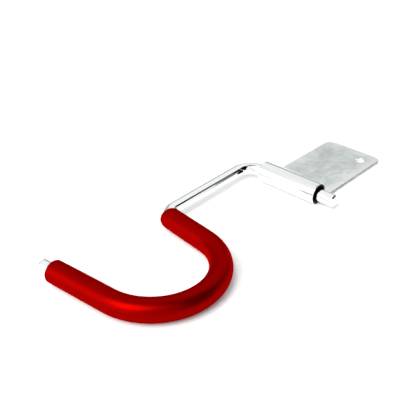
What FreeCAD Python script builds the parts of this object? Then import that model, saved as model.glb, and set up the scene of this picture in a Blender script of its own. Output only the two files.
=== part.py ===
"""Swivel garage hook.

A wall plate of sheet steel has one edge rolled into a barrel. A round bar, bent into an arm
and a wide U, turns in that barrel, and a thick soft sleeve covers the U. The hook is drawn
folded flat beside its plate.

Frame: the origin lies midway between the two screw holes, on the plate's back face. X runs
along the barrel, Y from the barrel across the plate, and Z out of the wall. On a wall, -X
points up, so that the U opens upwards.
"""
import FreeCAD
import Part
import math
import os

# Driving dimensions, in millimetres and degrees

# Wall plate and its rolled barrel
SHEET = 1.7             # steel sheet
PLATE_WIDTH = 44.0      # along the barrel
PLATE_REACH = 78.0      # barrel axis to the far edge
CORNER_R = 6.0          # the two far corners
ROLL_SEAM = 0.4         # gap between the roll's edge and the plate
PLATE_EDGE_R = 0.35     # rounding of the sheet's free edges
HOLE_D = 6.0            # screw holes
HOLE_SIDE = 10.0        # hole centre to the nearer side edge
HOLE_NEAR = 13.5        # barrel axis to the near hole
HOLE_FAR = 12.0         # far hole to the far edge

# Bent bar
ROD_D = 8.0             # round bar
PLAY_OVER_ROD = 1.7     # open space over the bar inside the barrel
RUNNING_GAP = 0.3       # least space under the bar inside the barrel
STUB = 12.2             # bar that stands out of the barrel's lower end
BEND_STANDOFF = 1.5     # straight bar between the barrel's upper end and the first bend
BEND_R = 12.0           # centre line of the bend beside the barrel
NECK_R = 9.0            # centre line of the bend between the arm and the U
ARM = 82.0              # corner to corner, from the barrel to the U
ARM_LEAN = 1.8          # the arm's departure from square to the barrel
LEG_FLARE = 6.0         # each leg of the U opens out by this angle
FIRST_LEG = 37.7        # corner to the start of the round
U_R = 35.5              # centre line of the round
LAST_LEG = 40.7         # end of the round to the end of the sleeve
TIP_OUT = 9.0           # bar that stands out of the sleeve
STUB_CHAMFER = 0.8      # at the stub's end
TIP_R = 2.5             # rounding of the bar's tip

# Sleeve
SLEEVE_WALL = 2.55      # soft tube
SLEEVE_FIT = 0.05       # between bar and sleeve
SLEEVE_WRAP = 20.0      # how far the sleeve runs back round the second bend
SLEEVE_EDGE_R = 1.6     # rounding of the sleeve's ends

# Worked out from the driving dimensions

ROD_R = ROD_D / 2
SLEEVE_BORE_R = ROD_R + SLEEVE_FIT
SLEEVE_R = SLEEVE_BORE_R + SLEEVE_WALL

# Folded flat, the hook lies on its sleeve, or on the barrel's floor where that holds it higher
AXIS_Z = max(SLEEVE_R, SHEET + RUNNING_GAP + ROD_R)

BORE_R = (AXIS_Z + ROD_R + PLAY_OVER_ROD - SHEET) / 2
BARREL_R = BORE_R + SHEET
BARREL_Z = BARREL_R
BARREL_Y = -(HOLE_NEAR + PLATE_REACH - HOLE_FAR) / 2
FAR_Y = BARREL_Y + PLATE_REACH
SIDE_X = PLATE_WIDTH / 2

UP = FreeCAD.Vector(0, 0, 1)
ALONG_X = FreeCAD.Vector(1, 0, 0)


def turned(direction, degrees):
    """Return a direction turned to the left in the plan."""
    return FreeCAD.Rotation(UP, degrees).multVec(direction)


def left_of(direction):
    """Return the direction in the plan square to the left of another."""
    return UP.cross(direction)


# The bar's direction on each straight run: up the barrel, then left, left and right round the U
UP_BARREL = ALONG_X * -1
ARM_WAY = turned(left_of(UP_BARREL), ARM_LEAN)
FIRST_LEG_WAY = turned(ALONG_X, -LEG_FLARE)
LAST_LEG_WAY = turned(UP_BARREL, LEG_FLARE)


def angle_between(one, other):
    """Return the angle between two directions, in degrees."""
    return math.degrees(one.getAngle(other))


class Line:
    """A straight stretch of the bar's centre line."""

    def __init__(self, start, end):
        self.start = start
        self.end = end

    def solid(self, radius):
        """Return the round solid about this stretch."""
        run = self.end - self.start
        return Part.makeCylinder(radius, run.Length, self.start, run)


class Bend:
    """A round stretch that turns the centre line in the plan: a positive turn is to the left."""

    def __init__(self, start, direction, radius, turn):
        self.start = start
        self.direction = direction
        self.turn = turn
        self.centre = start + left_of(direction) * math.copysign(radius, turn)
        spoke = start - self.centre
        self.end = self.centre + turned(spoke, turn)

    def tail(self, angle):
        """Return the last part of this bend, over the given angle."""
        kept = math.copysign(angle, self.turn)
        skipped = self.turn - kept
        spoke = self.start - self.centre
        return Bend(self.centre + turned(spoke, skipped), turned(self.direction, skipped), spoke.Length, kept)

    def solid(self, radius):
        """Return the round solid about this stretch."""
        section = Part.Face(Part.Wire(Part.makeCircle(radius, self.start, self.direction)))
        return section.revolve(self.centre, UP, self.turn)


def corner_setback(way_in, way_out, radius):
    """Return the distance from a corner of the centre line to where its bend starts."""
    return radius * math.tan(way_in.getAngle(way_out) / 2)


def corner_bend(corner, way_in, way_out, radius):
    """Return the bend to the left at a corner of the centre line."""
    start = corner - way_in * corner_setback(way_in, way_out, radius)
    return Bend(start, way_in, radius, angle_between(way_in, way_out))


def centre_line():
    """Return the bar's stretches by name, in order from the stub to the end of the sleeve."""
    stub_end = FreeCAD.Vector(SIDE_X + STUB, BARREL_Y, AXIS_Z)
    barrel_top = FreeCAD.Vector(-SIDE_X, BARREL_Y, AXIS_Z)
    first_setback = corner_setback(UP_BARREL, ARM_WAY, BEND_R)
    first_corner = barrel_top + UP_BARREL * (BEND_STANDOFF + first_setback)
    second_corner = first_corner + ARM_WAY * ARM
    first = corner_bend(first_corner, UP_BARREL, ARM_WAY, BEND_R)
    second = corner_bend(second_corner, ARM_WAY, FIRST_LEG_WAY, NECK_R)
    round_start = second_corner + FIRST_LEG_WAY * FIRST_LEG
    hook = Bend(round_start, FIRST_LEG_WAY, U_R, -angle_between(FIRST_LEG_WAY, LAST_LEG_WAY))
    sleeve_end = hook.end + LAST_LEG_WAY * LAST_LEG
    return {
        "pin": Line(stub_end, first.start),
        "first bend": first,
        "arm": Line(first.end, second.start),
        "second bend": second,
        "first leg": Line(second.end, hook.start),
        "round": hook,
        "last leg": Line(hook.end, sleeve_end),
    }


def tube(stretches, radius):
    """Return one round solid along the stretches."""
    solids = [stretch.solid(radius) for stretch in stretches]
    return solids[0].multiFuse(solids[1:]).removeSplitter().Solids[0]


def rim(solid, centre, radius):
    """Return the round edge that comes nearest to a centre and a radius."""

    def mismatch(edge):
        return edge.Curve.Center.distanceToPoint(centre) + abs(edge.Curve.Radius - radius)

    return min((edge for edge in solid.Edges if isinstance(edge.Curve, Part.Circle)), key=mismatch)


def hook_rod():
    """Return the bent bar, chamfered at the stub and rounded at the tip."""
    line = centre_line()
    tip = line["last leg"].end + LAST_LEG_WAY * TIP_OUT
    line["last leg"] = Line(line["last leg"].start, tip)
    bar = tube(list(line.values()), ROD_R)
    bar = bar.makeChamfer(STUB_CHAMFER, [rim(bar, line["pin"].start, ROD_R)])
    return bar.makeFillet(TIP_R, [rim(bar, tip, ROD_R)]).Solids[0]


def grip_sleeve():
    """Return the soft tube that covers the U, with rounded ends."""
    line = centre_line()
    start = line["second bend"].tail(SLEEVE_WRAP)
    covered = [start, line["first leg"], line["round"], line["last leg"]]
    sleeve = tube(covered, SLEEVE_R).cut(tube(covered, SLEEVE_BORE_R)).Solids[0]
    ends = [rim(sleeve, place, SLEEVE_R) for place in (start.start, line["last leg"].end)]
    return sleeve.makeFillet(SLEEVE_EDGE_R, ends).Solids[0]


def sheet_section():
    """Return the sheet's section across the barrel: a flat run and a roll that comes back to it."""
    centre = FreeCAD.Vector(-SIDE_X, BARREL_Y, BARREL_Z)
    end_angle = math.asin((SHEET + ROLL_SEAM - BARREL_Z) / BARREL_R)

    def on_roll(radius, angle):
        return centre + FreeCAD.Vector(0, math.cos(angle), math.sin(angle)) * radius

    def plate_point(height):
        return FreeCAD.Vector(-SIDE_X, FAR_Y, height)

    bottom = -math.pi / 2
    opposite = math.pi / 2
    edges = [
        Part.LineSegment(plate_point(0), on_roll(BARREL_R, bottom)),
        Part.Arc(on_roll(BARREL_R, bottom), on_roll(BARREL_R, opposite), on_roll(BARREL_R, end_angle)),
        Part.LineSegment(on_roll(BARREL_R, end_angle), on_roll(BORE_R, end_angle)),
        Part.Arc(on_roll(BORE_R, end_angle), on_roll(BORE_R, opposite), on_roll(BORE_R, bottom)),
        Part.LineSegment(on_roll(BORE_R, bottom), plate_point(SHEET)),
        Part.LineSegment(plate_point(SHEET), plate_point(0)),
    ]
    return Part.Face(Part.Wire([edge.toShape() for edge in edges]))


def hole_places():
    """Return the places of the two screw holes: near the barrel and, diagonally, near the far edge."""
    near = FreeCAD.Vector(-SIDE_X + HOLE_SIDE, BARREL_Y + HOLE_NEAR, 0)
    far = FreeCAD.Vector(SIDE_X - HOLE_SIDE, FAR_Y - HOLE_FAR, 0)
    return [near, far]


def far_corner_edges(plate):
    """Return the plate's two upright edges at the far corners."""
    boxed = [(edge, edge.BoundBox) for edge in plate.Edges]
    at_far = [(edge, box) for edge, box in boxed if box.YMin > FAR_Y - SHEET / 2]
    return [edge for edge, box in at_far if box.XLength < SHEET / 2]


def free_edges(plate):
    """Return the outlines of the two flat faces, apart from the line where each meets the roll."""
    found = []
    for face in plate.Faces:
        if face.BoundBox.ZLength < SHEET / 2:
            meets_roll_first = sorted(face.OuterWire.Edges, key=lambda edge: edge.BoundBox.YMax)
            found += meets_roll_first[1:]
    return found


def mounting_plate():
    """Return the wall plate with its rolled barrel, rounded corners and screw holes."""
    plate = sheet_section().extrude(ALONG_X * PLATE_WIDTH)
    plate = plate.makeFillet(CORNER_R, far_corner_edges(plate))
    for place in hole_places():
        plate = plate.cut(Part.makeCylinder(HOLE_D / 2, SHEET, place))
    return plate.makeFillet(PLATE_EDGE_R, free_edges(plate)).Solids[0]


def main():
    """Build every piece and write it to the parts folder."""
    os.makedirs("parts", exist_ok=True)
    pieces = {
        "mounting_plate": mounting_plate(),
        "hook_rod": hook_rod(),
        "grip_sleeve": grip_sleeve(),
    }
    for name, shape in pieces.items():
        box = shape.optimalBoundingBox()
        print(name, shape.ShapeType, "valid", shape.isValid(), "volume", round(shape.Volume, 1))
        print("  from", [round(v, 2) for v in (box.XMin, box.YMin, box.ZMin)])
        print("  to  ", [round(v, 2) for v in (box.XMax, box.YMax, box.ZMax)])
        shape.exportStep(f"parts/{name}.step")


main()
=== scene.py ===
"""Looks of the swivel garage hook.

A bright zinc bar turns in the rolled barrel of a zinc wall plate, and a satin red vinyl sleeve
covers the bar's wide U. The hook lies folded flat on a white studio table, as in its photograph.
"""
import logging
import math
from collections.abc import Callable
from dataclasses import dataclass
from enum import Enum

import bmesh
import bpy
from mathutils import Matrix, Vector
from mathutils.geometry import delaunay_2d_cdt


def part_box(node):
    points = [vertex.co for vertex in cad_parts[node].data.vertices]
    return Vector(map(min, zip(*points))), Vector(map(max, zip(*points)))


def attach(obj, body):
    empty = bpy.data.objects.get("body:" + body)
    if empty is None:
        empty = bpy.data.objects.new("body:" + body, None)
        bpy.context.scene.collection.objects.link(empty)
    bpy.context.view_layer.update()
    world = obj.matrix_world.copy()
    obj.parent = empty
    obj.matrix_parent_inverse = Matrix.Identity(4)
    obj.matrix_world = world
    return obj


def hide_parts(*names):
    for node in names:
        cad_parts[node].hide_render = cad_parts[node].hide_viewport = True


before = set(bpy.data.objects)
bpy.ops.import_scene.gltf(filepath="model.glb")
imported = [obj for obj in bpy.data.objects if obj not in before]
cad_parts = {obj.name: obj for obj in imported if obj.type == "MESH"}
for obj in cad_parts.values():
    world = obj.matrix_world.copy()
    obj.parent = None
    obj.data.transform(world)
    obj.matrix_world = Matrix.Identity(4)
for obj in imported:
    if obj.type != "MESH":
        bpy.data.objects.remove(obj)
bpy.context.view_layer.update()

MM = 0.001
SQUARE = math.pi / 2
SHARP_ANGLE = math.radians(35.0)
SWEEP_MAP = "Sweep"
LOG = logging.getLogger("hook")

Colour = tuple[float, float, float, float]
Flat = tuple[float, float]


class Body(Enum):
    """The two bodies that the hinge joins."""

    PLATE = "plate"
    HOOK = "hook"


class Solid(Enum):
    """The solids that the pieces stand for."""

    PLATE = "mounting_plate"
    BAR = "hook_rod"
    SLEEVE = "grip_sleeve"


class Slot(Enum):
    """The record's material slots."""

    SHEET = "zinc_sheet"
    BAR = "zinc_bar"
    SLEEVE = "red_sleeve"


class Region(Enum):
    """The regions of the wall plate, each with the number of its finish."""

    # The bore's finish is painted shade, the roll's a painted highlight, the edge's partly painted shade.
    FLAT = 0
    BORE = 1
    ROLL = 2
    EDGE = 3


class Run(Enum):
    """The stretches of the bar's centre line, in order from the stub to the tip."""

    PIN = "pin"
    FIRST_BEND = "first bend"
    ARM = "arm"
    SECOND_BEND = "second bend"
    FIRST_LEG = "first leg"
    ROUND = "round"
    LAST_LEG = "last leg"


def linear(hex_colour: str) -> Colour:
    """Turn an sRGB hex value into the linear colour that shaders take.

    Args:
        hex_colour: six hex digits after a hash sign.

    Returns:
        Red, green, blue and a full alpha.
    """
    full, knee, slope, offset, power = 255.0, 0.04045, 12.92, 0.055, 2.4
    channels = [value / full for value in bytes.fromhex(hex_colour.lstrip("#"))]
    light = [c / slope if c <= knee else ((c + offset) / (1 + offset)) ** power for c in channels]
    return (*light, 1.0)


def add_node(tree: bpy.types.NodeTree, kind: str, inputs: dict | None = None,
             **settings: object) -> bpy.types.Node:
    """Add a shader node with its settings, values and links.

    Args:
        tree: the node tree that gets the node.
        kind: the node's type.
        inputs: values or output sockets, by the name or number of the input that takes them.
        settings: the node's own options; stops, if given, are the places and colours of a ramp.

    Returns:
        The new node.
    """
    made = tree.nodes.new(kind)
    stops = settings.pop("stops", [])
    for name, value in settings.items():
        setattr(made, name, value)
    for at, (place, colour) in enumerate(stops):
        elements = made.color_ramp.elements
        element = elements[at] if at < len(elements) else elements.new(place)
        element.position = place
        element.color = colour
    for key, value in (inputs or {}).items():
        if isinstance(value, bpy.types.NodeSocket):
            tree.links.new(value, made.inputs[key])
        else:
            made.inputs[key].default_value = value
    return made


def new_material(name: str) -> tuple[bpy.types.Material, bpy.types.NodeTree]:
    """Start a material with an empty node tree.

    Args:
        name: the material's name.

    Returns:
        The material and its node tree.
    """
    material = bpy.data.materials.new(name)
    material.use_nodes = True
    material.node_tree.nodes.clear()
    return material, material.node_tree


def add_metal(tree: bpy.types.NodeTree, inputs: dict) -> None:
    """End a material with a metal surface.

    Args:
        tree: the material's node tree.
        inputs: the shader's values or output sockets, by the name of the input that takes them.
    """
    shader = add_node(tree, "ShaderNodeBsdfPrincipled", {"Metallic": 1.0, **inputs})
    add_node(tree, "ShaderNodeOutputMaterial", {"Surface": shader.outputs["BSDF"]})


@dataclass(frozen=True)
class BrightZincBar:
    """Bright zinc plate on cold drawn bar.

    The eye gets an almost clean mirror, a little cool, softened by faint lines along the bar
    that the drawing die left under the plating.
    """

    colour: str = "#F6F8F8"
    colour_at: float = 0.62
    shade: str = "#EAEDEC"
    shade_at: float = 0.3
    roughness: float = 0.07
    draw_line_mm: float = 0.45
    draw_line_length_mm: float = 30.0
    draw_line_detail: float = 3.0
    draw_line_grain: float = 0.6
    draw_line_depth_mm: float = 0.004
    draw_line_relief: float = 0.25

    def material(self) -> bpy.types.Material:
        """Return the material, which follows the bar's own length and girth."""
        material, tree = new_material("bright_zinc_bar")
        sweep = add_node(tree, "ShaderNodeUVMap", uv_map=SWEEP_MAP).outputs["UV"]
        stretch = (1 / (self.draw_line_length_mm * MM), 1 / (self.draw_line_mm * MM), 1.0)
        lines = add_node(tree, "ShaderNodeMapping", {"Vector": sweep, "Scale": stretch})
        streaks = add_node(tree, "ShaderNodeTexNoise", {
            "Vector": lines.outputs["Vector"], "Scale": 1.0, "Detail": self.draw_line_detail,
            "Roughness": self.draw_line_grain})
        tone = add_node(tree, "ShaderNodeValToRGB", {"Fac": streaks.outputs["Fac"]}, stops=[
            (self.shade_at, linear(self.shade)), (self.colour_at, linear(self.colour))])
        bump = add_node(tree, "ShaderNodeBump", {
            "Height": streaks.outputs["Fac"], "Strength": self.draw_line_relief,
            "Distance": self.draw_line_depth_mm * MM})
        add_metal(tree, {
            "Base Color": tone.outputs["Color"], "Roughness": self.roughness,
            "Normal": bump.outputs["Normal"]})
        return material


@dataclass(frozen=True)
class ZincSheet:
    """Zinc plate on rolled sheet steel.

    The eye gets a satin grey mirror with paler swirls, where the plating bath lay unevenly on
    the flat, and pale margins, where the plating current crowded along the sheet's edges.
    """

    colour: str = "#D0D8D5"
    colour_at: float = 0.16
    cloud: str = "#F0F4F2"
    cloud_at: float = 0.38
    cloud_mm: float = 26.0
    cloud_detail: float = 4.0
    cloud_twist: float = 1.8
    swirl_mm: float = 13.0
    swirl_detail: float = 3.0
    swirl_twist: float = 3.0
    margin: str = "#F6F8F7"
    margin_mm: float = 9.0
    margin_gain: float = 2.0
    roughness_low: float = 0.24
    roughness_low_at: float = 0.3
    roughness_high: float = 0.38
    roughness_high_at: float = 0.7
    grit_mm: float = 0.6
    grit_depth_mm: float = 0.003
    grit_relief: float = 0.2

    def nearness(self, tree: bpy.types.NodeTree, place: bpy.types.NodeSocket,
                 wobble: bpy.types.NodeSocket, half_width: float, far: float) -> bpy.types.NodeSocket:
        """Return a socket that grows from 0 to 1 towards the sheet's side and far edges.

        Args:
            tree: the material's node tree.
            place: the place on the sheet.
            wobble: noise that breaks the margin's line.
            half_width: the sides' distance from the middle, in metres.
            far: the far edge's place, in metres.

        Returns:
            The socket.
        """
        margin = self.margin_mm * MM
        apart = add_node(tree, "ShaderNodeSeparateXYZ", {"Vector": place})
        off_middle = add_node(tree, "ShaderNodeMath", {0: apart.outputs["X"]}, operation="ABSOLUTE")
        near = []
        for distance, edge in ((off_middle.outputs["Value"], half_width), (apart.outputs["Y"], far)):
            near.append(add_node(tree, "ShaderNodeMapRange", {
                "Value": distance, "From Min": edge - margin, "From Max": edge}).outputs["Result"])
        nearest = add_node(tree, "ShaderNodeMath", {0: near[0], 1: near[1]}, operation="MAXIMUM")
        broken = add_node(tree, "ShaderNodeMath", {
            0: nearest.outputs["Value"], 1: wobble}, operation="MULTIPLY")
        raised = add_node(tree, "ShaderNodeMath", {
            0: broken.outputs["Value"], 1: self.margin_gain}, operation="MULTIPLY", use_clamp=True)
        return raised.outputs["Value"]

    def material(self, half_width: float, far: float) -> bpy.types.Material:
        """Return the material.

        Args:
            half_width: the sheet's half width, in metres.
            far: the place of its far edge, in metres.

        Returns:
            The material.
        """
        material, tree = new_material("zinc_plated_sheet")
        place = add_node(tree, "ShaderNodeTexCoord").outputs["Object"]
        clouds = add_node(tree, "ShaderNodeTexNoise", {
            "Vector": place, "Scale": 1 / (self.cloud_mm * MM), "Detail": self.cloud_detail,
            "Distortion": self.cloud_twist})
        swirls = add_node(tree, "ShaderNodeTexNoise", {
            "Vector": place, "Scale": 1 / (self.swirl_mm * MM), "Detail": self.swirl_detail,
            "Distortion": self.swirl_twist})
        mixed = add_node(tree, "ShaderNodeMath", {
            0: clouds.outputs["Fac"], 1: swirls.outputs["Fac"]}, operation="MULTIPLY")
        tone = add_node(tree, "ShaderNodeValToRGB", {"Fac": mixed.outputs["Value"]}, stops=[
            (self.colour_at, linear(self.colour)), (self.cloud_at, linear(self.cloud))])
        near = self.nearness(tree, place, clouds.outputs["Fac"], half_width, far)
        paled = add_node(tree, "ShaderNodeMix", {
            "Factor": near, "A": tone.outputs["Color"], "B": linear(self.margin)}, data_type="RGBA")
        gloss = add_node(tree, "ShaderNodeMapRange", {
            "Value": clouds.outputs["Fac"],
            "From Min": self.roughness_low_at, "From Max": self.roughness_high_at,
            "To Min": self.roughness_low, "To Max": self.roughness_high})
        grit = add_node(tree, "ShaderNodeTexNoise", {"Vector": place, "Scale": 1 / (self.grit_mm * MM)})
        bump = add_node(tree, "ShaderNodeBump", {
            "Height": grit.outputs["Fac"], "Strength": self.grit_relief,
            "Distance": self.grit_depth_mm * MM})
        add_metal(tree, {
            "Base Color": paled.outputs["Result"], "Roughness": gloss.outputs["Result"],
            "Normal": bump.outputs["Normal"]})
        return material


@dataclass(frozen=True)
class BurnishedRollHighlight:
    """Zinc plate that the rolling die has burnished.

    The eye gets a smooth barrel with faint lines along it from the die. Its colour, lighter than the
    flat's, is a painted highlight for the barrel's bright band, and the screw holes' walls take it too,
    as a painted highlight that makes the holes read white.
    """

    # Lighter than the flat's zinc: painted highlight on the barrel and the holes' walls.
    colour: str = "#F0F2F2"
    colour_at: float = 0.6
    line: str = "#E2E6E5"
    line_at: float = 0.35
    line_mm: float = 1.2
    line_length_mm: float = 40.0
    line_detail: float = 2.0
    roughness: float = 0.13

    def material(self) -> bpy.types.Material:
        """Return the material."""
        material, tree = new_material("burnished_zinc_painted_highlight")
        place = add_node(tree, "ShaderNodeTexCoord").outputs["Object"]
        long, fine = 1 / (self.line_length_mm * MM), 1 / (self.line_mm * MM)
        drawn = add_node(tree, "ShaderNodeMapping", {"Vector": place, "Scale": (long, fine, fine)})
        lines = add_node(tree, "ShaderNodeTexNoise", {
            "Vector": drawn.outputs["Vector"], "Scale": 1.0, "Detail": self.line_detail})
        tone = add_node(tree, "ShaderNodeValToRGB", {"Fac": lines.outputs["Fac"]}, stops=[
            (self.line_at, linear(self.line)), (self.colour_at, linear(self.colour))])
        add_metal(tree, {"Base Color": tone.outputs["Color"], "Roughness": self.roughness})
        return material


@dataclass(frozen=True)
class ShearedEdgeShade:
    """Bare steel where the press sheared the sheet.

    The eye gets a dull grey line that rims the plate's flat: partly the bare steel's own grey, partly
    painted shade for the thin contact shadow under the plate's edge.
    """

    # Darker than the flat: partly bare steel, partly painted shade under the plate's edge.
    colour: str = "#C2C6C5"
    colour_at: float = 0.65
    burr: str = "#989C9B"
    burr_at: float = 0.35
    tear_mm: float = 1.5
    roughness: float = 0.45

    def material(self) -> bpy.types.Material:
        """Return the material."""
        material, tree = new_material("sheared_steel_and_painted_shade")
        place = add_node(tree, "ShaderNodeTexCoord").outputs["Object"]
        tears = add_node(tree, "ShaderNodeTexNoise", {"Vector": place, "Scale": 1 / (self.tear_mm * MM)})
        tone = add_node(tree, "ShaderNodeValToRGB", {"Fac": tears.outputs["Fac"]}, stops=[
            (self.burr_at, linear(self.burr)), (self.colour_at, linear(self.colour))])
        add_metal(tree, {"Base Color": tone.outputs["Color"], "Roughness": self.roughness})
        return material


@dataclass(frozen=True)
class BareSteelBoreShade:
    """Oily bare steel inside the roll and at its mouths, where the plating bath hardly reaches.

    The eye gets a dark hollow with no clear reflection: painted shade, darker than bare steel is, that
    stands for the shade inside the barrel and at its mouths.
    """

    # Near black: painted shade for the barrel's hollow, beyond the bare steel's own grey.
    colour: str = "#2A2B2A"
    colour_at: float = 0.65
    film: str = "#151515"
    film_at: float = 0.35
    film_mm: float = 2.5
    film_detail: float = 2.0
    roughness: float = 0.55

    def material(self) -> bpy.types.Material:
        """Return the material."""
        material, tree = new_material("bare_steel_painted_bore_shade")
        place = add_node(tree, "ShaderNodeTexCoord").outputs["Object"]
        film = add_node(tree, "ShaderNodeTexNoise", {
            "Vector": place, "Scale": 1 / (self.film_mm * MM), "Detail": self.film_detail})
        tone = add_node(tree, "ShaderNodeValToRGB", {"Fac": film.outputs["Fac"]}, stops=[
            (self.film_at, linear(self.film)), (self.colour_at, linear(self.colour))])
        add_metal(tree, {"Base Color": tone.outputs["Color"], "Roughness": self.roughness})
        return material


@dataclass(frozen=True)
class RedVinyl:
    """Soft PVC tube, extruded and pushed on warm.

    The eye gets a deep even red with a broad satin shine, and a skin that is not quite smooth.
    """

    colour: str = "#500000"
    colour_at: float = 0.65
    deep: str = "#460000"
    deep_at: float = 0.35
    mottle_mm: float = 14.0
    mottle_detail: float = 2.0
    body_roughness: float = 1.0
    body_specular: float = 0.0
    shine: str = "#FF0804"
    shine_facing: float = 0.195
    shine_grazing: float = 0.38
    shine_blend: float = 0.3
    shine_roughness: float = 0.36
    skin_mm: float = 0.9
    skin_detail: float = 2.0
    skin_depth_mm: float = 0.02
    skin_relief: float = 0.3

    def material(self) -> bpy.types.Material:
        """Return the material, which follows the sleeve's own length and girth."""
        material, tree = new_material("satin_red_vinyl")
        sweep = add_node(tree, "ShaderNodeUVMap", uv_map=SWEEP_MAP).outputs["UV"]
        mottle = add_node(tree, "ShaderNodeTexNoise", {
            "Vector": sweep, "Scale": 1 / (self.mottle_mm * MM), "Detail": self.mottle_detail})
        tone = add_node(tree, "ShaderNodeValToRGB", {"Fac": mottle.outputs["Fac"]}, stops=[
            (self.deep_at, linear(self.deep)), (self.colour_at, linear(self.colour))])
        skin = add_node(tree, "ShaderNodeTexNoise", {
            "Vector": sweep, "Scale": 1 / (self.skin_mm * MM), "Detail": self.skin_detail})
        bump = add_node(tree, "ShaderNodeBump", {
            "Height": skin.outputs["Fac"], "Strength": self.skin_relief,
            "Distance": self.skin_depth_mm * MM})
        body = add_node(tree, "ShaderNodeBsdfPrincipled", {
            "Base Color": tone.outputs["Color"], "Roughness": self.body_roughness,
            "Specular IOR Level": self.body_specular, "Normal": bump.outputs["Normal"]})
        gloss = add_node(tree, "ShaderNodeBsdfGlossy", {
            "Color": linear(self.shine), "Roughness": self.shine_roughness,
            "Normal": bump.outputs["Normal"]})
        slant = add_node(tree, "ShaderNodeLayerWeight", {
            "Blend": self.shine_blend, "Normal": bump.outputs["Normal"]})
        share = add_node(tree, "ShaderNodeMapRange", {
            "Value": slant.outputs["Facing"], "To Min": self.shine_facing, "To Max": self.shine_grazing})
        skin_over = add_node(tree, "ShaderNodeMixShader", {
            0: share.outputs["Result"], 1: body.outputs["BSDF"], 2: gloss.outputs["BSDF"]})
        add_node(tree, "ShaderNodeOutputMaterial", {"Surface": skin_over.outputs["Shader"]})
        return material


@dataclass(frozen=True)
class Station:
    """One place on the bar's centre line, with the direction of travel there."""

    place: Vector
    ahead: Vector

    def left(self) -> Vector:
        """Return the direction square to the left, level with the table."""
        return Vector((-self.ahead.y, self.ahead.x, 0.0))


@dataclass(frozen=True)
class Stretch:
    """A straight or evenly bent stretch of the centre line: a positive turn is to the left."""

    length: float
    turn: float = 0.0

    def after(self, start: Station, run: float) -> Station:
        """Return the station a distance along this stretch.

        Args:
            start: the station where the stretch starts.
            run: the distance, in metres.

        Returns:
            The station there.
        """
        if not self.turn:
            return Station(start.place + start.ahead * run, start.ahead)
        angle = self.turn * run / self.length
        radius = self.length / self.turn
        ahead = start.ahead * math.cos(angle) + start.left() * math.sin(angle)
        centre = start.place + start.left() * radius
        return Station(centre - Station(centre, ahead).left() * radius, ahead)


@dataclass(frozen=True)
class BarLine:
    """The bent bar's centre line, level all the way from the end of its stub to its tip."""

    stub_mm: float = 12.2
    standoff_mm: float = 1.5
    bend_radius_mm: float = 12.0
    neck_radius_mm: float = 9.0
    arm_mm: float = 82.0
    arm_lean_deg: float = 1.8
    leg_flare_deg: float = 6.0
    first_leg_mm: float = 37.7
    round_radius_mm: float = 35.5
    last_leg_mm: float = 40.7
    tip_mm: float = 9.0

    def radius(self) -> float:
        """Return the bar's radius, in metres."""
        low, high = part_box(Solid.BAR.value)
        return (high.z - low.z) / 2

    def start(self) -> Station:
        """Return the station at the stub's end."""
        low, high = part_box(Solid.BAR.value)
        barrel_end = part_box(Solid.PLATE.value)[1].x
        place = Vector((barrel_end + self.stub_mm * MM, high.y - self.radius(), (low.z + high.z) / 2))
        return Station(place, Vector((-1.0, 0.0, 0.0)))

    def stretches(self) -> dict[Run, Stretch]:
        """Return the stretches by name, in order."""
        low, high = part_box(Solid.PLATE.value)
        barrel = high.x - low.x
        lean = math.radians(self.arm_lean_deg)
        flare = math.radians(self.leg_flare_deg)
        bend = self.bend_radius_mm * MM
        neck = self.neck_radius_mm * MM
        first = SQUARE + lean
        second = SQUARE - lean - flare
        first_setback = bend * math.tan(first / 2)
        second_setback = neck * math.tan(second / 2)
        hook = math.pi - 2 * flare
        return {
            Run.PIN: Stretch((self.stub_mm + self.standoff_mm) * MM + barrel),
            Run.FIRST_BEND: Stretch(bend * first, first),
            Run.ARM: Stretch(self.arm_mm * MM - first_setback - second_setback),
            Run.SECOND_BEND: Stretch(neck * second, second),
            Run.FIRST_LEG: Stretch(self.first_leg_mm * MM - second_setback),
            Run.ROUND: Stretch(self.round_radius_mm * MM * hook, -hook),
            Run.LAST_LEG: Stretch((self.last_leg_mm + self.tip_mm) * MM),
        }

    def start_of(self, run: Run) -> float:
        """Return the distance from the stub's end to the start of a stretch, in metres."""
        order = list(Run)
        stretches = self.stretches()
        return sum(stretches[before].length for before in order[:order.index(run)])

    def length(self) -> float:
        """Return the whole length, in metres."""
        return sum(stretch.length for stretch in self.stretches().values())

    def stations(self, distances: list[float]) -> list[Station]:
        """Return the stations at distances from the stub's end.

        Args:
            distances: distances along the centre line, in metres.

        Returns:
            The station at each distance.
        """
        begun = []
        station, passed = self.start(), 0.0
        for stretch in self.stretches().values():
            begun.append((passed, station, stretch))
            station = stretch.after(station, stretch.length)
            passed += stretch.length
        found = []
        for distance in distances:
            begin, first, stretch = [entry for entry in begun if entry[0] <= max(distance, 0.0)][-1]
            found.append(stretch.after(first, distance - begin))
        return found


@dataclass(frozen=True)
class Ring:
    """A round section of a swept piece: its distance along the centre line and its radius."""

    along: float
    radius: float


def spaced(start: float, end: float, step: float) -> list[float]:
    """Return even distances from start to end, no further apart than a step."""
    count = max(1, math.ceil(abs(end - start) / step))
    return [start + (end - start) * at / count for at in range(count + 1)]


def rounded_end(face: float, radius: float, edge: float, outward: int, parts: int = 8) -> list[Ring]:
    """Return the rings of a rounded end, from the full radius out to the end face.

    Args:
        face: the distance of the end face along the centre line.
        radius: the full radius of the piece.
        edge: the radius of the rounding.
        outward: 1 at the far end of the piece, -1 at the near end.
        parts: how many steps the rounding has.

    Returns:
        The rings in order.
    """
    rings = []
    for part in range(parts + 1):
        angle = SQUARE * part / parts
        short = edge * (1 - math.sin(angle))
        rings.append(Ring(face - outward * short, radius - edge * (1 - math.cos(angle))))
    return rings


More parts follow.
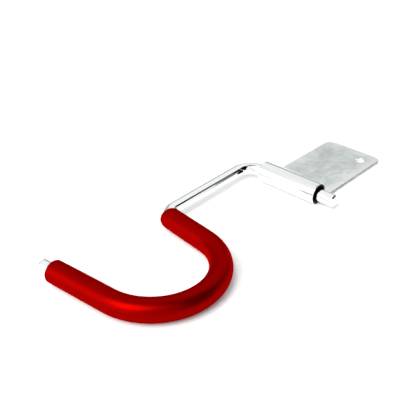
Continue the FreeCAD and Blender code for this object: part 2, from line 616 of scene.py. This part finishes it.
def shown(name: str, data: bpy.types.ID) -> bpy.types.Object:
    """Put a mesh, a camera or a light into the scene.

    Args:
        name: the object's name.
        data: its mesh, camera or light.

    Returns:
        The new object.
    """
    made = bpy.data.objects.new(name, data)
    bpy.context.scene.collection.objects.link(made)
    return made


def aimed(name: str, data: bpy.types.ID, place: Vector, way: Vector) -> bpy.types.Object:
    """Put a camera or a light into the scene, facing a direction.

    Args:
        name: the object's name.
        data: its camera or light.
        place: where it stands.
        way: the direction that it faces.

    Returns:
        The new object.
    """
    made = shown(name, data)
    made.location = place
    made.rotation_mode = "QUATERNION"
    made.rotation_quaternion = way.to_track_quat("-Z", "Y")
    return made


def swept_mesh(name: str, line: BarLine, rings: list[Ring], corners: int, hollow: bool) -> bpy.types.Mesh:
    """Make a mesh by carrying round sections along the bar's centre line.

    Args:
        name: the mesh's name.
        line: the centre line.
        rings: the sections in order; a hollow piece's last section joins its first.
        corners: the number of corners of each section.
        hollow: whether the sections close on each other; otherwise both ends are capped.

    Returns:
        The mesh, with a map of metres along and around the piece.
    """
    points = []
    for ring, station in zip(rings, line.stations([ring.along for ring in rings])):
        for corner in range(corners):
            angle = 2 * math.pi * corner / corners
            spoke = station.left() * math.cos(angle) + Vector((0.0, 0.0, math.sin(angle)))
            points.append(station.place + spoke * ring.radius)
    girth = 2 * math.pi * max(ring.radius for ring in rings)
    faces, places = [], []
    pairs = [(at, at + 1) for at in range(len(rings) - 1)]
    if hollow:
        pairs.append((len(rings) - 1, 0))
    for one, two in pairs:
        for corner in range(corners):
            square = [(one, corner), (two, corner), (two, corner + 1), (one, corner + 1)]
            faces.append([ring * corners + at % corners for ring, at in square])
            places += [(rings[ring].along, girth * at / corners) for ring, at in square]
    if not hollow:
        for end, order in ((0, 1), (len(rings) - 1, -1)):
            cap = list(range(corners))[::order]
            faces.append([end * corners + at for at in cap])
            places += [(rings[end].along, girth * at / corners) for at in cap]
    mesh = bpy.data.meshes.new(name)
    mesh.from_pydata(points, [], faces)
    sweep = mesh.uv_layers.new(name=SWEEP_MAP)
    sweep.uv.foreach_set("vector", [value for place in places for value in place])
    mesh.shade_smooth()
    mesh.set_sharp_from_angle(angle=SHARP_ANGLE)
    return mesh


@dataclass
class HookBar:
    """The bent round bar: stub, pin, arm and U."""

    line: BarLine
    finish: BrightZincBar
    chamfer_mm: float = 0.8
    tip_round_mm: float = 2.5
    step_mm: float = 1.0
    corners: int = 64

    def build(self) -> bpy.types.Object:
        """Make the bar and dress it."""
        radius = self.line.radius()
        chamfer = self.chamfer_mm * MM
        tip_round = self.tip_round_mm * MM
        tip = self.line.length()
        rings = [Ring(0.0, radius - chamfer)]
        rings += [Ring(at, radius) for at in spaced(chamfer, tip - tip_round, self.step_mm * MM)]
        rings += rounded_end(tip, radius, tip_round, 1)[1:]
        bar = shown("bent_bar", swept_mesh("bent_bar", self.line, rings, self.corners, hollow=False))
        bar.data.materials.append(self.finish.material())
        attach(bar, Body.HOOK.value)
        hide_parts(Solid.BAR.value)
        return bar


@dataclass
class GripSleeve:
    """The soft tube over the U, open at both ends, where the bar comes out."""

    line: BarLine
    finish: RedVinyl
    fit_mm: float = 0.05
    wrap_deg: float = 20.0
    edge_mm: float = 1.6
    lip_mm: float = 0.3
    step_mm: float = 1.0
    bore_step_mm: float = 2.0
    corners: int = 80

    def build(self) -> bpy.types.Object:
        """Make the sleeve and dress it."""
        low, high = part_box(Solid.SLEEVE.value)
        radius = (high.z - low.z) / 2
        bore = self.line.radius() + self.fit_mm * MM
        edge = self.edge_mm * MM
        lip = self.lip_mm * MM
        wrap = math.radians(self.wrap_deg) * self.line.neck_radius_mm * MM
        start = self.line.start_of(Run.FIRST_LEG) - wrap
        end = self.line.length() - self.line.tip_mm * MM
        rings = rounded_end(start, radius, edge, -1)[::-1]
        rings += [Ring(at, radius) for at in spaced(start + edge, end - edge, self.step_mm * MM)][1:-1]
        rings += rounded_end(end, radius, edge, 1)
        rings.append(Ring(end, bore + lip))
        rings += [Ring(at, bore) for at in spaced(end - lip, start + lip, self.bore_step_mm * MM)]
        rings.append(Ring(start, bore + lip))
        sleeve = shown("grip_tube", swept_mesh("grip_tube", self.line, rings, self.corners, hollow=True))
        sleeve.data.materials.append(self.finish.material())
        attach(sleeve, Body.HOOK.value)
        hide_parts(Solid.SLEEVE.value)
        return sleeve


@dataclass
class WallPlate:
    """One piece of sheet: a flat wall plate with two holes, and one edge rolled into a barrel.

    A place on the sheet is given by x, along the barrel, and by its run, the distance from the
    far edge along the flat and then round the roll.
    """

    flat_finish: ZincSheet
    # The bore and edge finishes carry painted shade; the roll finish carries a painted highlight.
    bore_shade_finish: BareSteelBoreShade
    roll_highlight_finish: BurnishedRollHighlight
    edge_shade_finish: ShearedEdgeShade
    sheet_mm: float = 1.7
    corner_mm: float = 6.0
    seam_mm: float = 0.4
    edge_mm: float = 0.35
    hole_mm: float = 6.0
    hole_side_mm: float = 10.0
    hole_near_mm: float = 13.5
    hole_far_mm: float = 12.0
    edge_parts: int = 4
    corner_parts: int = 16
    hole_corners: int = 64
    roll_step_mm: float = 0.35
    merge_mm: float = 0.001

    def __post_init__(self) -> None:
        """Read the plate's extent from the frame."""
        low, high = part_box(Solid.PLATE.value)
        self.half_width = (high.x - low.x) / 2
        self.barrel_radius = (high.z - low.z) / 2
        self.barrel_y = low.y + self.barrel_radius
        self.far_y = high.y
        self.flat = self.far_y - self.barrel_y
        self.sheet = self.sheet_mm * MM
        self.edge = self.edge_mm * MM
        over_plate = (self.sheet_mm + self.seam_mm) * MM - self.barrel_radius
        self.roll_angle = 3 * SQUARE - math.asin(over_plate / self.barrel_radius)
        self.bend = self.barrel_radius - self.sheet / 2
        self.end = self.flat + self.roll_angle * self.bend

    def place(self, x: float, run: float, depth: float) -> Vector:
        """Return where a place on the sheet lies.

        Args:
            x: the place along the barrel.
            run: the distance from the far edge along the sheet.
            depth: the height over the sheet's back, from 0 to its thickness.

        Returns:
            The place in the frame.
        """
        if run <= self.flat:
            return Vector((x, self.far_y - run, depth))
        angle = (run - self.flat) / self.bend
        radius = self.barrel_radius - depth
        y = self.barrel_y - radius * math.sin(angle)
        return Vector((x, y, self.barrel_radius - radius * math.cos(angle)))

    def edge_profile(self) -> list[Flat]:
        """Return the inset and depth of each line round a free edge, from the front to the back."""
        front = []
        for part in range(self.edge_parts + 1):
            angle = SQUARE * part / self.edge_parts
            inset = self.edge * (1 - math.sin(angle))
            front.append((inset, self.sheet - self.edge * (1 - math.cos(angle))))
        return front + [(inset, self.sheet - depth) for inset, depth in reversed(front)]

    def roll_runs(self, inset: float) -> list[float]:
        """Return the runs of the lines along the roll, from the flat to the rolled edge."""
        return spaced(self.flat, self.end - self.edge, self.roll_step_mm * MM)[:-1] + [self.end - inset]

    def outline(self, inset: float) -> list[Flat]:
        """Return the sheet's outline, drawn in by an inset.

        Args:
            inset: how far each point lies inside the sheet's own outline.

        Returns:
            The x and run of each point: up the left side, round the far corners, down the right.
        """
        side = self.half_width - inset
        runs = self.roll_runs(inset)
        corner = self.corner_mm * MM
        points = [(-side, run) for run in reversed(runs)]
        for hand, begin in ((-1, 2 * SQUARE), (1, 3 * SQUARE)):
            for part in range(self.corner_parts + 1):
                angle = begin + SQUARE * part / self.corner_parts
                x = hand * (self.half_width - corner) + (corner - inset) * math.cos(angle)
                points.append((x, corner + (corner - inset) * math.sin(angle)))
        return points + [(side, run) for run in runs]

    def hole_centres(self) -> list[Flat]:
        """Return the x and run of the two screw holes."""
        x = self.half_width - self.hole_side_mm * MM
        return [(-x, self.flat - self.hole_near_mm * MM), (x, self.hole_far_mm * MM)]

    def hole(self, centre: Flat, inset: float) -> list[Flat]:
        """Return the rim of a screw hole, drawn back from the hole by an inset."""
        radius = self.hole_mm / 2 * MM + inset
        turns = [2 * math.pi * corner / self.hole_corners for corner in range(self.hole_corners)]
        x, run = centre
        return [(x + radius * math.cos(turn), run + radius * math.sin(turn)) for turn in turns]

    def flat_faces(self, rims: list[list[Flat]], corners: list[int]) -> list[list[int]]:
        """Fill the flat between its outline and the two holes.

        Args:
            rims: the outline of the flat, then the rim of each hole.
            corners: the mesh's point for each point of the rims, in order.

        Returns:
            The corners of each triangle.
        """
        points, edges = [], []
        for rim in rims:
            first = len(points)
            points += [Vector(point) for point in rim]
            edges += [(first + at, first + (at + 1) % len(rim)) for at in range(len(rim))]
        triangles_inside = 1
        merge = self.merge_mm * MM
        _, _, triangles, origins, _, _ = delaunay_2d_cdt(points, edges, [], triangles_inside, merge)
        hole_radius = self.hole_mm / 2 * MM
        faces = []
        for triangle in triangles:
            own = [origins[at][0] for at in triangle]
            middle = sum((points[at] for at in own), Vector((0.0, 0.0))) / len(own)
            if all((middle - Vector(centre)).length > hole_radius for centre in self.hole_centres()):
                faces.append([corners[at] for at in own])
        return faces

    def mesh(self) -> bpy.types.Mesh:
        """Make the sheet: two faces, their rounded edges and the holes' rims."""
        profile = self.edge_profile()
        points, faces, regions = [], [], []

        def rings_of(
            rim: Callable[[float], list[Flat]], region: Callable[[int, int], Region],
        ) -> list[list[int]]:
            """Add the lines round one rim and the faces between them.

            Args:
                rim: gives the rim's places for an inset.
                region: gives the region of a face by its step over the edge and its place round it.

            Returns:
                The points of each line.
            """
            lines = []
            for inset, depth in profile:
                flat = rim(inset)
                lines.append(list(range(len(points), len(points) + len(flat))))
                points.extend(self.place(x, run, depth) for x, run in flat)
            for step, (one, two) in enumerate(zip(lines, lines[1:])):
                for at in range(len(one)):
                    after = (at + 1) % len(one)
                    faces.append([one[at], one[after], two[after], two[at]])
                    regions.append(region(step, at))
            return lines

        rows = len(self.roll_runs(0.0))
        around = len(self.outline(0.0))

        def outline_region(step: int, at: int) -> Region:
            """Return the region of a face on the free edge: the roll's mouths get the same painted shade
            as its bore.
            """
            if rows - 1 <= at < around - rows:
                return Region.EDGE
            return Region.BORE if step <= self.edge_parts else Region.ROLL

        outline = rings_of(self.outline, outline_region)
        # The holes' walls get the roll's painted highlight, so the holes read white.
        holes = [
            rings_of(lambda inset, centre=centre: self.hole(centre, inset), lambda step, at: Region.ROLL)
            for centre in self.hole_centres()]
        front, back = 0, -1
        for side in (front, back):
            line = outline[side]
            left, right = line[:rows][::-1], line[-rows:]
            # Inside the barrel the roll gets the bore's painted shade; outside it gets the roll's painted
            # highlight.
            for row in range(rows - 1):
                faces.append([left[row], right[row], right[row + 1], left[row + 1]])
                regions.append(Region.BORE if side == front else Region.ROLL)
            inset = profile[side][0]
            rims = [self.outline(inset)[rows - 1:1 - rows]]
            corners = list(line[rows - 1:1 - rows])
            for centre, hole in zip(self.hole_centres(), holes):
                rims.append(self.hole(centre, inset))
                corners += hole[side]
            filled = self.flat_faces(rims, corners)
            faces += filled
            regions += [Region.FLAT] * len(filled)
        mesh = bpy.data.meshes.new("rolled_plate")
        mesh.from_pydata(points, [], faces)
        mesh.polygons.foreach_set("material_index", [region.value for region in regions])
        shell = bmesh.new()
        shell.from_mesh(mesh)
        bmesh.ops.recalc_face_normals(shell, faces=shell.faces)
        shell.to_mesh(mesh)
        shell.free()
        mesh.shade_smooth()
        mesh.set_sharp_from_angle(angle=SHARP_ANGLE)
        return mesh

    def build(self) -> bpy.types.Object:
        """Make the plate and dress it."""
        plate = shown("rolled_plate", self.mesh())
        plate.data.materials.append(self.flat_finish.material(self.half_width, self.far_y))
        for finish in (self.bore_shade_finish, self.roll_highlight_finish, self.edge_shade_finish):
            plate.data.materials.append(finish.material())
        plate.modifiers.new("even_shading", "WEIGHTED_NORMAL").keep_sharp = True
        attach(plate, Body.PLATE.value)
        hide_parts(Solid.PLATE.value)
        return plate


@dataclass
class Studio:
    """The white table, the soft light and the camera of the photograph.

    A direction in the studio is given by its side, in degrees round from the camera towards the
    right of the picture, and by its elevation over the table.
    """

    target_mm: tuple[float, float, float] = (-26.06, -91.07, 0.0)
    azimuth_deg: float = 42.898
    elevation_deg: float = 32.171
    distance_mm: float = 411.53
    focal_px: float = 652.71
    picture_px: float = 415.0
    sensor_mm: float = 36.0
    table_m: float = 8.0
    table_drop_mm: float = 0.05
    table_albedo: str = "#F2F2F2"
    table_lift: float = 0.64
    table_shade_mm: float = 5.0
    table_shade_samples: int = 8
    ambient_low: float = 0.02
    ambient_high: float = 1.2
    ambient_side_deg: float = -85.0
    ambient_elevation_deg: float = 5.0
    ambient_dark: float = 0.3
    ambient_bright: float = 0.9
    key_side_deg: float = -42.0
    key_elevation_deg: float = 50.0
    key_spread_deg: float = 42.0
    key_strength: float = 2.0
    fill_side_deg: float = -60.0
    fill_elevation_deg: float = 12.0
    fill_spread_deg: float = 70.0
    fill_strength: float = 1.2
    white: float = 1.0
    pure: str = "#FFFFFF"
    ceiling_deg: float = 68.0
    ceiling_tone: float = 0.3
    black: str = "#060606"
    charcoal: str = "#303232"
    slate: str = "#545656"
    grey: str = "#8A8C8C"
    pale: str = "#BCBEBE"
    card_y_mm: float = 260.0
    line_card_mm: tuple[Flat, ...] = (
        (116.0, 276.0), (186.0, 396.0), (240.0, 350.0), (295.0, 277.0), (199.0, 200.0))
    pale_card_mm: tuple[Flat, ...] = ((206.0, 205.0), (263.0, 250.0), (345.0, 37.0), (272.0, 32.0))
    bend_mm: tuple[float, float, float] = (-33.0, -48.0, 6.6)
    panel_reach_m: float = 3.0
    panel_deg: tuple[Flat, ...] = ((40.0, 0.0), (40.0, 33.0), (84.0, 36.0), (84.0, 0.0))
    post_reach_m: float = 0.2
    post_deg: tuple[Flat, ...] = ((90.0, 3.0), (93.0, 22.0), (104.0, 38.0), (112.0, 38.0), (100.0, 3.0))
    round_mm: tuple[float, float, float] = (35.0, -166.0, 6.6)
    flag_reach_m: float = 1.5
    flag_deg: tuple[Flat, ...] = ((46.0, 22.0), (108.0, 22.0), (114.0, 66.0), (40.0, 66.0))
    barrel_mm: tuple[float, float, float] = (0.0, -40.0, 14.0)
    wall_reach_m: float = 3.0
    wall_deg: tuple[Flat, ...] = ((150.0, 0.0), (150.0, 20.0), (262.0, 20.0), (262.0, 0.0))

    def direction(self, side_deg: float, elevation_deg: float) -> Vector:
        """Return a direction in the studio."""
        turn = math.radians(self.azimuth_deg + side_deg)
        rise = math.radians(elevation_deg)
        return Vector((math.sin(turn) * math.cos(rise), -math.cos(turn) * math.cos(rise), math.sin(rise)))

    def add_camera(self) -> None:
        """Put the camera where the photograph was taken from."""
        lens = bpy.data.cameras.new("photo_camera")
        lens.sensor_width = self.sensor_mm
        lens.lens = self.focal_px / self.picture_px * self.sensor_mm
        back = self.direction(0.0, self.elevation_deg)
        place = Vector(self.target_mm) * MM + back * self.distance_mm * MM
        bpy.context.scene.camera = aimed("photo_camera", lens, place, -back)

    def seen_directly(self, tree: bpy.types.NodeTree) -> bpy.types.NodeSocket:
        """Return a socket that is 1 for what the camera sees, also in metal or through glass, else 0."""
        path = add_node(tree, "ShaderNodeLightPath")
        both = add_node(tree, "ShaderNodeMath", {
            0: path.outputs["Is Camera Ray"], 1: path.outputs["Is Glossy Ray"]}, operation="MAXIMUM")
        seen = add_node(tree, "ShaderNodeMath", {
            0: both.outputs["Value"], 1: path.outputs["Is Transmission Ray"]}, operation="MAXIMUM")
        return seen.outputs["Value"]

    def add_table(self) -> bpy.types.Object:
        """Make the white table, which keeps the hook's shadow."""
        half = self.table_m / 2
        drop = -self.table_drop_mm * MM
        mesh = bpy.data.meshes.new("white_table")
        corners = [(-half, -half, drop), (half, -half, drop), (half, half, drop), (-half, half, drop)]
        mesh.from_pydata(corners, [], [tuple(range(len(corners)))])
        table = shown("white_table", mesh)
        material, tree = new_material("white_table")
        matt = add_node(tree, "ShaderNodeBsdfDiffuse", {"Color": linear(self.table_albedo)})
        clear = add_node(tree, "ShaderNodeAmbientOcclusion", {"Distance": self.table_shade_mm * MM},
                         samples=self.table_shade_samples)
        open_table = add_node(tree, "ShaderNodeMath", {
            0: self.seen_directly(tree), 1: clear.outputs["AO"]}, operation="MULTIPLY")
        lift = add_node(tree, "ShaderNodeMath", {
            0: open_table.outputs["Value"], 1: self.table_lift}, operation="MULTIPLY")
        glow = add_node(tree, "ShaderNodeEmission", {"Strength": lift.outputs["Value"]})
        both = add_node(tree, "ShaderNodeAddShader", {
            0: matt.outputs["BSDF"], 1: glow.outputs["Emission"]})
        add_node(tree, "ShaderNodeOutputMaterial", {"Surface": both.outputs["Shader"]})
        mesh.materials.append(material)
        return table

    def add_world(self) -> None:
        """Surround the hook with a white that dims overhead, and light it softly from the left."""
        world = bpy.data.worlds.new("white_studio")
        bpy.context.scene.world = world
        world.use_nodes = True
        tree = world.node_tree
        tree.nodes.clear()
        way = add_node(tree, "ShaderNodeTexCoord").outputs["Generated"]
        bright_way = self.direction(self.ambient_side_deg, self.ambient_elevation_deg)
        facing = add_node(tree, "ShaderNodeVectorMath", {0: way, 1: bright_way}, operation="DOT_PRODUCT")
        soft = add_node(tree, "ShaderNodeMapRange", {
            "Value": facing.outputs["Value"],
            "From Min": self.ambient_dark, "From Max": self.ambient_bright,
            "To Min": self.ambient_low, "To Max": self.ambient_high}, interpolation_type="SMOOTHSTEP")
        overhead = add_node(tree, "ShaderNodeSeparateXYZ", {"Vector": way})
        ceiling = add_node(tree, "ShaderNodeMapRange", {
            "Value": overhead.outputs["Z"], "From Min": math.sin(math.radians(self.ceiling_deg)),
            "To Min": self.white, "To Max": self.ceiling_tone}, interpolation_type="SMOOTHSTEP")
        strength = add_node(tree, "ShaderNodeMix", {
            "Factor": self.seen_directly(tree),
            "A": soft.outputs["Result"], "B": ceiling.outputs["Result"]})
        light = add_node(tree, "ShaderNodeBackground", {
            "Color": linear(self.pure), "Strength": strength.outputs["Result"]})
        add_node(tree, "ShaderNodeOutputWorld", {"Surface": light.outputs["Background"]})

    def add_light(self, name: str, towards: Vector, spread_deg: float, strength: float) -> None:
        """Set up a broad light.

        Args:
            name: the light's name.
            towards: the direction from the hook to the light.
            spread_deg: how wide the light looks from the hook.
            strength: its strength.
        """
        lamp = bpy.data.lights.new(name, "SUN")
        lamp.angle = math.radians(spread_deg)
        lamp.energy = strength
        aimed(name, lamp, towards, -towards)

    def add_lights(self) -> None:
        """Set the main light high on the left of the camera, and a wide, weaker one low on the left."""
        main_way = self.direction(self.key_side_deg, self.key_elevation_deg)
        self.add_light("key_light", main_way, self.key_spread_deg, self.key_strength)
        low_way = self.direction(self.fill_side_deg, self.fill_elevation_deg)
        self.add_light("fill_light", low_way, self.fill_spread_deg, self.fill_strength)

    def add_card(self, name: str, colour: str, points: list[Vector]) -> bpy.types.Object:
        """Hang a flat card that only reflections show.

        Args:
            name: the card's name.
            colour: its colour.
            points: its corners in order.

        Returns:
            The card.
        """
        mesh = bpy.data.meshes.new(name)
        mesh.from_pydata(points, [], [tuple(range(len(points)))])
        card = shown(name, mesh)
        material, tree = new_material(name)
        matt = add_node(tree, "ShaderNodeEmission", {"Color": linear(colour)})
        add_node(tree, "ShaderNodeOutputMaterial", {"Surface": matt.outputs["Emission"]})
        mesh.materials.append(material)
        card.visible_camera = False
        card.visible_shadow = False
        card.visible_diffuse = False
        return card

    def add_back_cards(self) -> None:
        """Hang two cards behind the plate, which the arm mirrors as a dark line over a grey one."""
        for name, colour, corners in (
            ("line_card", self.slate, self.line_card_mm),
            ("pale_card", self.grey, self.pale_card_mm),
        ):
            self.add_card(name, colour, [Vector((x, self.card_y_mm, z)) * MM for x, z in corners])

    def add_side_cards(self) -> None:
        """Stand panels on the right, which the bend and the sleeve mirror, and a low wall behind."""
        for name, colour, seen_from, reach, corners in (
            ("side_panel", self.charcoal, self.bend_mm, self.panel_reach_m, self.panel_deg),
            ("side_post", self.black, self.bend_mm, self.post_reach_m, self.post_deg),
            ("side_flag", self.black, self.round_mm, self.flag_reach_m, self.flag_deg),
            ("back_wall", self.pale, self.barrel_mm, self.wall_reach_m, self.wall_deg),
        ):
            middle = Vector(seen_from) * MM
            points = [middle + self.direction(*corner) * reach for corner in corners]
            self.add_card(name, colour, points)

    def build(self) -> None:
        """Set up the studio."""
        bpy.context.scene.view_settings.view_transform = "Standard"
        self.add_camera()
        self.add_table()
        self.add_world()
        self.add_lights()
        self.add_back_cards()
        self.add_side_cards()


def main() -> None:
    """Build the studio and every piece in order."""
    logging.basicConfig(level=logging.INFO)
    Studio().build()
    line = BarLine()
    for maker in (
        WallPlate(ZincSheet(), BareSteelBoreShade(), BurnishedRollHighlight(), ShearedEdgeShade()),
        HookBar(line, BrightZincBar()),
        GripSleeve(line, RedVinyl()),
    ):
        piece = maker.build()
        LOG.info("%s: %d faces", piece.name, len(piece.data.polygons))


if __name__ == "__main__":
    main()
